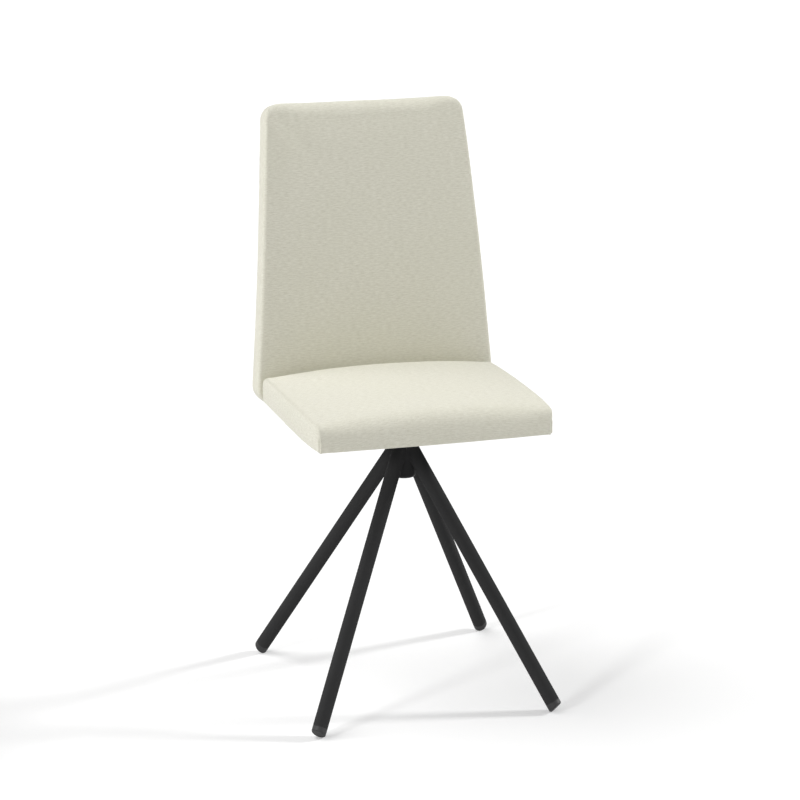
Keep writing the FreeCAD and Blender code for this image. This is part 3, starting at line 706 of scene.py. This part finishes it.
def sewing_thread(shader):
    """Twisted cream thread, with painted shade in the grooves of its twist."""
    places = shader.place()
    twist = shader.waves(shader.part(places, "X") + shader.part(places, "Z"), 0.5 * MM)
    # Painted shade: the colour runs from darker in the grooves of the twist to lighter on its ridges.
    colour = shader.mix(twist * 0.5 + 0.5, srgb(204, 200, 184), srgb(232, 229, 214))
    return shader.finish(colour, 0.75, shader.bump(twist, 0.06 * MM, 0.6))


materials = {make.__name__: make(Shader(make.__name__)) for make in (
    cream_fabric, sewing_thread, black_powder_coat, black_plastic, bearing_plastic, turned_steel,
    zinc_plated_steel, plywood, foam, wadding, black_lining)}


def dress(piece, name, body="seat_and_back"):
    """Give a piece its material and its body."""
    piece.data.materials.clear()
    piece.data.materials.append(materials[name])
    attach(piece, body)


# What repeats along a line

class Pattern(Nodes):
    """Geometry Nodes tree under construction, with its named inputs."""

    def __init__(self, name, labels):
        super().__init__(bpy.data.node_groups.new(name, "GeometryNodeTree"))
        sockets = self.tree.interface
        sockets.new_socket("Geometry", in_out="INPUT", socket_type="NodeSocketGeometry")
        made = [sockets.new_socket(label, in_out="INPUT", socket_type="NodeSocketFloat") for label in labels]
        self.keys = {socket.name: socket.identifier for socket in made}
        sockets.new_socket("Geometry", in_out="OUTPUT", socket_type="NodeSocketGeometry")
        given = self.tree.nodes.new("NodeGroupInput").outputs
        self.inputs = {label: Value(self, given[label]) for label in ("Geometry", *labels)}


def bead(pattern):
    """Round bead, 1 across."""
    return pattern.node("GeometryNodeMeshUVSphere", {}, {"Segments": 8, "Rings": 5, "Radius": 0.5})


def rod(pattern):
    """Rod along x, 1 long and 1 across."""
    upright = pattern.node("GeometryNodeMeshCylinder", {}, {"Vertices": 8, "Radius": 0.5, "Depth": 1.0})
    return pattern.node("GeometryNodeTransform", {},
                        {"Geometry": upright, "Rotation": (0.0, math.pi / 2, 0.0)})


def set_along(name, lines, shape, material, body, sizes):
    """Copies of a small shape along lines of (place, outward direction), as one mesh.

    sizes holds Spacing, Length along the line, Width across it and Height outwards.
    """
    marks = [mark for line in lines for mark in line]
    edges, start = [], 0
    for line in lines:
        edges += [(index, index + 1) for index in range(start, start + len(line) - 1)]
        start += len(line)
    mesh = bpy.data.meshes.new(name)
    mesh.from_pydata([place for place, outward in marks], edges, [])
    outwards = mesh.attributes.new("outward", "FLOAT_VECTOR", "POINT")
    outwards.data.foreach_set("vector", [part for place, outward in marks for part in outward])
    piece = add_object(name, mesh)

    pattern = Pattern(name, sizes)
    given = pattern.inputs
    path = pattern.node("GeometryNodeMeshToCurve", {}, {"Mesh": given["Geometry"]})
    even = pattern.node("GeometryNodeResampleCurve", {"mode": "LENGTH"},
                        {"Curve": path, "Length": given["Spacing"]})
    outward = pattern.node("GeometryNodeInputNamedAttribute", {"data_type": "FLOAT_VECTOR"},
                           {"Name": "outward"})
    along = pattern.node("GeometryNodeInputTangent")
    turn = pattern.node("FunctionNodeAxesToRotation", {"primary_axis": "Z", "secondary_axis": "X"},
                        [outward, along])
    vary = pattern.node("FunctionNodeRandomValue", {"data_type": "FLOAT_VECTOR"},
                        {0: (0.9, 0.9, 0.9), 1: (1.1, 1.1, 1.1), "Seed": 7})
    size = pattern.node("ShaderNodeCombineXYZ", {}, [given["Length"], given["Width"], given["Height"]])
    scale = pattern.node("ShaderNodeVectorMath", {"operation": "MULTIPLY"}, [size, vary])
    copies = pattern.node("GeometryNodeInstanceOnPoints", {},
                          {"Points": even, "Instance": shape(pattern), "Rotation": turn, "Scale": scale})
    real = pattern.node("GeometryNodeRealizeInstances", {}, [copies])
    finished = pattern.node("GeometryNodeSetMaterial", {},
                            {"Geometry": real, "Material": materials[material]})
    pattern.node("NodeGroupOutput", {}, [finished])

    modifier = piece.modifiers.new("pattern", "NODES")
    modifier.node_group = pattern.tree
    for label, value in sizes.items():
        modifier[pattern.keys[label]] = value
    make_real(piece)
    smooth_faces(piece.data)
    dress(piece, material, body)


# Seat cushion

def edge_inset(radius, distance):
    """How far a rounded edge draws in at a distance from the side."""
    if distance >= radius:
        return 0.0
    return radius - math.sqrt(radius ** 2 - (radius - distance) ** 2)


seat_depth_length = seat_front + seat_rear
seat_long_shares = graded(seat_depth_length, (0, seat_depth_length), fine=2.4 * MM)
seat_short_shares = graded(seat_side_height, (0, seat_side_height), coarse=4.5 * MM)
seam_x = seat_half_width - gusset_seam_inset
seat_stations = [seam_x * (2 * share - 1) for share in graded(2 * seam_x, (0, 2 * seam_x))]


def seat_ring(x):
    """The seat's cross-section at x, as four sides: underside, rear, top and front."""
    distance = seat_half_width - abs(x)
    fullness = 1 - (x / seat_half_width) ** 2
    top_inset = edge_inset(seat_top_edge_radius, distance)
    corner_inset = edge_inset(seat_corner_radius, distance)
    front = -(seat_front + seat_front_bulge * fullness - corner_inset)
    rear = seat_rear - corner_inset
    top = seat_side_height + seat_crown * fullness - top_inset
    bottom = corner_inset / 2
    drawn_in = max(top_inset, corner_inset)
    corners = [(front, bottom), (rear, bottom), (rear, top), (front, top)]
    sideways = max(0.0, 1 - distance / seat_side_front_reach) ** 2
    front_radius = seat_front_radius + (seat_side_front_radius - seat_front_radius) * sideways
    radii = [seat_bottom_radius, seat_bottom_radius, seat_rear_radius - drawn_in, front_radius - drawn_in]
    shares = [seat_long_shares, seat_short_shares, seat_long_shares, seat_short_shares]
    sides = [[place for place, inward in side] for side in rounded_sides(corners, radii, shares)]
    for share, place in zip(seat_long_shares, sides[2]):
        place.y += seat_dome * (1 - (2 * share - 1) ** 2)
    for place in [place for side in sides for place in side]:
        rim = 1 - min(distance, place.x - front, rear - place.x) / seat_welt_reach
        place.y -= seat_welt * max(0.0, rim) * max(0.0, 1 - place.y / seat_welt_height)
    return sides


def seat_skin_place(x, depth, height):
    """Point of the seat's skin, whose sides bow out behind the front corners."""
    bow = 1 - math.exp(-max(0.0, depth + seat_front) / seat_bow_reach)
    return seat_place(x * (1 + bow * seat_side_bow / seat_half_width), depth, height)


def running_lengths(line):
    """Distance along a line to each of its points."""
    lengths = [0.0]
    for first, last in zip(line, line[1:]):
        lengths.append(lengths[-1] + (last - first).length)
    return lengths


def seat_side_panel(skin, side):
    """The side panel within its seam, swollen outwards."""
    low, rear, top, front = seat_ring(side * seam_x)
    rows = coons(low, top[::-1], front[::-1], rear)
    places, threads = [], []
    for line in rows:
        places.append([])
        threads.append([])
        for column, place in enumerate(line):
            edges = (rows[0][column], rows[-1][column], line[0], line[-1])
            from_edge = min((place - edge).length for edge in edges)
            roundness = min(1.0, from_edge / gusset_reach)
            outwards = gusset_bulge * (1 - (1 - roundness) ** 2)
            places[-1].append(seat_skin_place(side * (seam_x + outwards), place.x, place.y))
            threads[-1].append((place.x, place.y))
    skin.patch(places, threads, inside_out=side < 0)


def seat_cushion():
    """Seat with a main panel that wraps over top and front, and a side panel on each side."""
    skin = Skin()
    rows, threads = [], []
    for x in seat_stations:
        ring = closed(ring_of(seat_ring(x)))
        rows.append([seat_skin_place(x, place.x, place.y) for place in ring])
        threads.append([(x, length) for length in running_lengths(ring)])
    skin.patch(rows, threads, inside_out=True)
    for side in (-1, 1):
        seat_side_panel(skin, side)
    piece = skin.piece("seat_cushion")
    seams = [dense(rows[0]), dense(rows[-1])]
    seam_tree = tree_of(seams[0] + seams[1])

    def is_held(place):
        underside = place.z < seat_place(0, place.y, 2 * MM).z
        return underside or place.y > seat_rear - 1 * MM or seam_tree.find(place)[2] < seam_hold

    swell(piece, is_held, seat_pressure, seat_swell)
    subdivide(piece)
    soften(piece, seat_unevenness)
    top_start = seat_place(0, 0, seat_corner_seam_top * seat_side_height).z
    for seam in seams:
        upright = [place for place in seam if place.z < top_start and place.y < 0]
        press_seam(piece, upright, seat_corner_seam)
        press_seam(piece, seam, seat_edge_seam)
    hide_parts("seat_cover", "seat_foam")
    dress(piece, "cream_fabric")


# Back cushion

def back_outline(margin, top_radius, bottom_radius, long_shares, tall_shares):
    """The outline of the back seen flat: x and rise along the arc, drawn in by margin."""
    slope = (back_bottom_width - back_top_width) / 2 / back_arc_length
    bottom_half = back_bottom_width / 2 - margin * (math.hypot(1, slope) + slope)
    top_half = back_top_width / 2 - margin * (math.hypot(1, slope) - slope)
    corners = [(-bottom_half, margin), (bottom_half, margin), (top_half, back_arc_length - margin),
               (-top_half, back_arc_length - margin)]
    radii = [bottom_radius, bottom_radius, top_radius, top_radius]
    return rounded_ring(corners, radii, long_shares, tall_shares)


back_long_shares = graded(back_bottom_width, (0, back_bottom_width), fine=3.0 * MM)
joint_rise = boxing_joint_height - back_bottom_height
back_tall_shares = graded(back_arc_length, (0, joint_rise, back_arc_length), fine=2.6 * MM, reach=22 * MM)


def front_edge_radius(place, inward):
    """Radius of the rounding between the front face and the edge of the back at an outline point."""
    level = max(0.0, -inward.y)
    if inward.y > 0:
        return back_side_edge_radius + (back_bottom_front_radius - back_side_edge_radius) * inward.y ** 2
    corner = back_side_edge_radius + (back_corner_front_radius - back_side_edge_radius) * level ** 2
    inner_half = back_top_width / 2 - back_top_corner_radius
    inward_share = min(1.0, max(0.0, (inner_half - abs(place.x)) / back_top_front_reach))
    smooth = inward_share * inward_share * (3 - 2 * inward_share)
    return corner + (back_top_front_radius - back_corner_front_radius) * smooth * level


def face_crown(x, rise):
    """How far the front face swells at a flat place."""
    half = (back_bottom_width + (back_top_width - back_bottom_width) * rise / back_arc_length) / 2
    across = max(0.0, 1 - abs(x / half) ** 3)
    up = max(0.0, 1 - (2 * rise / back_arc_length - 1) ** 6)
    return back_crown * across * up


def back_line(line):
    """Points of the back for a closed line of (x, rise, depth)."""
    return [back_place(*place) for place in closed(line)]


def back_cushion():
    """Back with a front panel, a strip round its edge and a recess behind for the rear panel."""
    skin = Skin()
    wide, tall = len(back_long_shares) - 1, len(back_tall_shares) - 1
    outline = back_outline(0.0, back_top_corner_radius, back_bottom_corner_radius,
                           back_long_shares, back_tall_shares)
    rings, rows, threads = [], [], []
    for turn in range(round_steps + 1):
        angle = math.pi / 2 * (1 - turn / round_steps)
        ring, line = [], []
        for place, inward in outline:
            radius = front_edge_radius(place, inward)
            flat = place + inward * (radius * (1 - math.cos(angle)))
            depth = radius * (1 - math.sin(angle)) - face_crown(flat.x, flat.y)
            reach = place + inward * (radius * (1 - angle))
            ring.append(Vector((flat.x, flat.y, depth)))
            line.append((reach.x, reach.y))
        rings.append(ring)
        rows.append(back_line(ring))
        threads.append(closed(line))
    skin.lid([place.xy for place in rings[0]], wide, tall,
             lambda place: back_place(*place, -face_crown(*place)))
    skin.patch(rows, threads, inside_out=True)
    front_seam = dense(rows[-1])

    lengths = running_lengths(rows[-1])
    first_depths = [place.z for place in rings[-1]]
    last_depth = back_thickness - back_rear_edge_radius
    strip, strip_threads = [rows[-1]], [list(zip(lengths, closed(first_depths)))]
    for step in range(1, strip_steps + 1):
        share = step / strip_steps
        fullness = 1 - (2 * share - 1) ** 2
        line = []
        for (place, inward), first in zip(outline, first_depths):
            bulge = back_strip_top_bulge + (back_strip_bulge - back_strip_top_bulge) * inward.x ** 2
            flat_place = place - inward * (bulge * fullness)
            line.append(Vector((flat_place.x, flat_place.y, first + (last_depth - first) * share)))
        strip.append(back_line(line))
        strip_threads.append([(length, place.z) for length, place in zip(lengths, closed(line))])
    joint_column = min((index for index, (place, inward) in enumerate(outline) if place.x < 0),
                       key=lambda index: abs(outline[index][0].y - joint_rise))
    boxing_joint = dense([row[joint_column] for row in strip[1:]])
    rear_seam = dense(strip[-1])
    for turn in range(1, rear_edge_steps + 1):
        angle = math.pi / 2 * turn / rear_edge_steps
        line = []
        for place, inward in outline:
            flat_place = place + inward * (back_rear_edge_radius * (1 - math.cos(angle)))
            line.append((*flat_place, last_depth + back_rear_edge_radius * math.sin(angle)))
        strip.append(back_line(line))
        strip_threads.append([(length, last_depth + back_rear_edge_radius * angle) for length in lengths])
    recess_depth = back_thickness - rear_panel_thickness - back_recess_clear
    recess = [place + inward * (back_rear_edge_radius + back_recess_inset) for place, inward in outline]
    strip.append(back_line([(*place, recess_depth) for place in recess]))
    strip_threads.append([(length, back_thickness + back_rear_edge_radius) for length in lengths])
    skin.patch(strip, strip_threads, inside_out=True)
    skin.lid(recess, wide, tall, lambda place: back_place(*place, recess_depth), inside_out=True)
    piece = skin.piece("back_cushion")
    held_tree = tree_of(front_seam + boxing_joint)

    def depth_of(place):
        return back_radius - math.hypot(back_centre_y - place.y, place.z - back_centre_z)

    def is_held(place):
        behind = depth_of(place) > last_depth + 0.5 * MM
        return behind or held_tree.find(place)[2] < seam_hold or (
            place.z < seat_place(0, place.y, seat_side_height + seat_crown).z and depth_of(place) < 0)

    swell(piece, is_held, back_pressure, back_swell)
    subdivide(piece)
    soften(piece, back_unevenness)
    press_seam(piece, front_seam, back_front_seam)
    press_seam(piece, rear_seam, back_rear_seam)
    press_seam(piece, boxing_joint, back_boxing_joint)
    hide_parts("back_cover", "back_foam", "back_wadding")
    dress(piece, "cream_fabric")


def rear_panel():
    """Fabric panel that closes the back from behind, its edge folded under."""
    skin = Skin()
    long_shares = graded(back_bottom_width, (0, back_bottom_width), fine=3.0 * MM)
    tall_shares = graded(back_arc_length, (0, back_arc_length), fine=3.0 * MM)
    top, bottom = back_top_corner_radius - rear_panel_margin, back_bottom_corner_radius - rear_panel_margin
    outline = back_outline(rear_panel_margin, top, bottom, long_shares, tall_shares)
    fold = rear_panel_thickness / 2
    rows, threads = [], []
    for turn in range(round_steps + 1):
        angle = math.pi * turn / round_steps
        line = [place + inward * (fold * (1 - math.sin(angle))) for place, inward in outline]
        rows.append(back_line([(*place, back_thickness - fold * (1 - math.cos(angle))) for place in line]))
        threads.append([tuple(place) for place in closed(line)])
    skin.patch(rows, threads)
    ring = [place + inward * fold for place, inward in outline]
    for depth, inside_out in ((back_thickness, True), (back_thickness - rear_panel_thickness, False)):
        skin.lid(ring, len(long_shares) - 1, len(tall_shares) - 1,
                 lambda place: back_place(*place, depth), inside_out)
    piece = skin.piece("rear_panel")
    subdivide(piece)
    slip_stitches(outline)
    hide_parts("back_rear_panel")
    dress(piece, "cream_fabric")


def slip_stitches(outline):
    """Hand stitches that close the rear panel against the cover."""
    margin = rear_panel_margin - back_rear_edge_radius
    line = []
    for place, inward in closed(outline):
        flat = place - inward * (margin / 2)
        here = back_place(flat.x, flat.y, back_thickness - stitch_depth)
        line.append((here, (here - back_place(flat.x, flat.y, 0)).normalized()))
    set_along("rear_panel_stitches", [line], bead, "sewing_thread", "seat_and_back", stitch)


# Underside

def dust_cover():
    """Black cloth under the seat, its edge folded in and stapled."""
    half = seat_half_width - dust_cover_margin
    front, rear = dust_cover_margin - seat_front, seat_rear - dust_cover_margin
    corners = [(-half, front), (half, front), (half, rear), (-half, rear)]
    long_shares = graded(2 * half, (0, 2 * half), **dust_cover_steps)
    deep_shares = graded(rear - front, (0, rear - front), **dust_cover_steps)
    outline = rounded_ring(corners, [dust_cover_corner_radius] * 4, long_shares, deep_shares)
    skin = Skin()

    def ring_at(inset):
        return [place + inward * (inset * MM) for place, inward in outline]

    def placed(depth):
        return lambda place: seat_place(*place, -depth * MM)

    rings = [(closed(ring_at(inset)), depth) for inset, depth in dust_cover_profile]
    skin.patch([[placed(depth)(place) for place in ring] for ring, depth in rings],
               [[tuple(place) for place in ring] for ring, depth in rings], inside_out=True)
    for (inset, depth), inside_out in ((dust_cover_profile[0], False), (dust_cover_profile[-1], True)):
        skin.lid(ring_at(inset), len(long_shares) - 1, len(deep_shares) - 1, placed(depth), inside_out)
    piece = skin.piece("dust_cover")
    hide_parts("seat_dust_cover")
    dress(piece, "black_lining")
    cut = (2 * half + 2 * dust_cover_fold, rear - front + 2 * dust_cover_fold)
    cut[0] * cut[1] * dust_cover_share
    staples(half, front, rear)


def staples(half, front, rear):
    """Staples through the folded edge of the dust cover, clear of the two brackets."""
    low, high = front + staple_inset, rear - staple_inset
    across, corner = half - staple_inset, dust_cover_corner_radius
    down = seat_place(0, 0, -1) - seat_place(0, 0, 0)
    inner, outer = bracket_middle - bracket_clear, bracket_middle + bracket_clear
    runs = [((-across, high - corner), (-across, low + corner)),
            ((across, low + corner), (across, high - corner)),
            ((corner - across, low), (across - corner, low)), ((-inner, high), (inner, high)),
            ((-outer, high), (corner - across, high)), ((across - corner, high), (outer, high))]
    lines = [[(seat_place(*place, -staple_depth), down) for place in run] for run in runs]
    set_along("dust_cover_staples", lines, rod, "zinc_plated_steel", "seat_and_back", staple)


# Welds

def leg_weld(side_x, side_y):
    """Line where a leg's tube meets the hub, with its outward directions."""
    apex = Vector((0, 0, hub_top_height - leg_apex_drop))
    sideways = math.sin(leg_lean) / math.sqrt(2)
    up = Vector((-side_x * sideways, -side_y * sideways, math.cos(leg_lean)))
    across = Vector((-side_y, side_x, 0)).normalized()
    upward = up.cross(across)
    line = []
    for step in range(weld_steps + 1):
        turn = 2 * math.pi * step / weld_steps
        outward = across * math.cos(turn) + upward * math.sin(turn)
        start = apex + outward * leg_radius
        level, lean = start.xy, up.xy
        toward = level.dot(lean)
        root = toward ** 2 - lean.length_squared * (level.length_squared - hub_radius ** 2)
        place = start - up * ((toward + math.sqrt(root)) / lean.length_squared)
        hub_outward = Vector((place.x, place.y, 0)).normalized()
        line.append((place, (outward + hub_outward).normalized()))
    return line


def welds():
    """Weld beads between the legs and the hub, and round the spindle's collar under its plate."""
    lines = [leg_weld(side_x, side_y) for side_x in (-1, 1) for side_y in (-1, 1)]
    set_along("leg_welds", lines, bead, "black_powder_coat", "base", weld_bead)
    ring = []
    for step in range(weld_steps + 1):
        turn = 2 * math.pi * step / weld_steps
        outward = Vector((math.cos(turn), math.sin(turn), 0))
        place = seat_place(collar_radius * outward.x, collar_radius * outward.y, -plate_underside)
        ring.append((place, (outward - Vector((0, 0, 1))).normalized()))
    set_along("collar_weld", [ring], bead, "black_powder_coat", "seat_and_back", weld_bead)


# Camera, light and floor

def direction(azimuth, elevation):
    """Towards where someone stands at an azimuth, 0 in front of the chair, and an elevation."""
    return Vector((math.sin(azimuth) * math.cos(elevation), -math.cos(azimuth) * math.cos(elevation),
                   math.sin(elevation)))


def add_camera():
    towards = direction(camera_azimuth, camera_elevation)
    aside = Vector((math.cos(camera_azimuth), math.sin(camera_azimuth), 0))
    camera = add_object("camera", bpy.data.cameras.new("camera"))
    camera.data.lens = camera_lens
    camera.data.clip_end = 200.0
    camera.location = Vector((0, 0, aim_height)) + aside * aim_aside + towards * camera_distance
    camera.rotation_euler = towards.to_track_quat("Z", "Y").to_euler()
    bpy.context.scene.camera = camera


def add_lamps():
    for name, (azimuth, elevation, strength, width) in lamps.items():
        light = bpy.data.lights.new(name, "SUN")
        light.energy = strength * math.pi
        light.angle = math.radians(width)
        towards = direction(math.radians(azimuth), math.radians(elevation))
        add_object(name, light).rotation_euler = towards.to_track_quat("Z", "Y").to_euler()


def seen_directly(nodes):
    """1 for camera, glossy and transmission rays."""
    camera = nodes.node("ShaderNodeLightPath", output="Is Camera Ray")
    glossy = nodes.node("ShaderNodeLightPath", output="Is Glossy Ray")
    through = nodes.node("ShaderNodeLightPath", output="Is Transmission Ray")
    return camera.calculate("MAXIMUM", glossy).calculate("MAXIMUM", through)


def add_world():
    """White where it is seen, softer where it lights."""
    world = bpy.data.worlds.new("studio")
    world.use_nodes = True
    nodes = Nodes(world.node_tree)
    strength = seen_directly(nodes) * (1 - world_strength) + world_strength
    light = nodes.node("ShaderNodeBackground", {}, {"Color": (1, 1, 1, 1), "Strength": strength})
    nodes.node("ShaderNodeOutputWorld", {}, {"Surface": light})
    bpy.context.scene.world = world


def add_floor():
    """Pale floor that is white where no shadow falls on it, and not seen from below."""
    mesh = bpy.data.meshes.new("floor")
    turns = [2 * math.pi * side / floor_sides for side in range(floor_sides)]
    rim = [(floor_radius * math.cos(turn), floor_radius * math.sin(turn), 0) for turn in turns]
    mesh.from_pydata(rim, [], [list(range(floor_sides))])
    floor = add_object("floor", mesh)
    shader = Shader("floor")
    matt = shader.node("ShaderNodeBsdfDiffuse", {}, {"Color": floor_colour})
    glow = shader.node("ShaderNodeEmission", {}, {"Strength": seen_directly(shader) * floor_lift})
    lit = shader.node("ShaderNodeAddShader", {}, [matt, glow])
    clear = shader.node("ShaderNodeBsdfTransparent")
    behind = shader.node("ShaderNodeNewGeometry", output="Backfacing")
    camera = shader.node("ShaderNodeLightPath", output="Is Camera Ray")
    surface = shader.node("ShaderNodeMixShader", {}, [behind * camera, lit, clear])
    shader.node("ShaderNodeOutputMaterial", {}, {"Surface": surface})
    mesh.materials.append(shader.material)


# CAD pieces that stay

def finish_cad_nodes():
    """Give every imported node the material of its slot, and smooth its round faces."""
    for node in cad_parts.values():
        for place in node.material_slots:
            place.material = materials[place.material.name.split(".")[0]]
        smooth_faces(node.data)
        weld = node.modifiers.new("weld", "WELD")
        weld.merge_threshold = cad_weld_distance
        split = node.modifiers.new("crisp_edges", "EDGE_SPLIT")
        split.split_angle = crisp_angle


bpy.context.scene.view_settings.view_transform = "Standard"
add_camera()
add_lamps()
add_world()
add_floor()
finish_cad_nodes()
seat_cushion()
back_cushion()
rear_panel()
dust_cover()
welds()
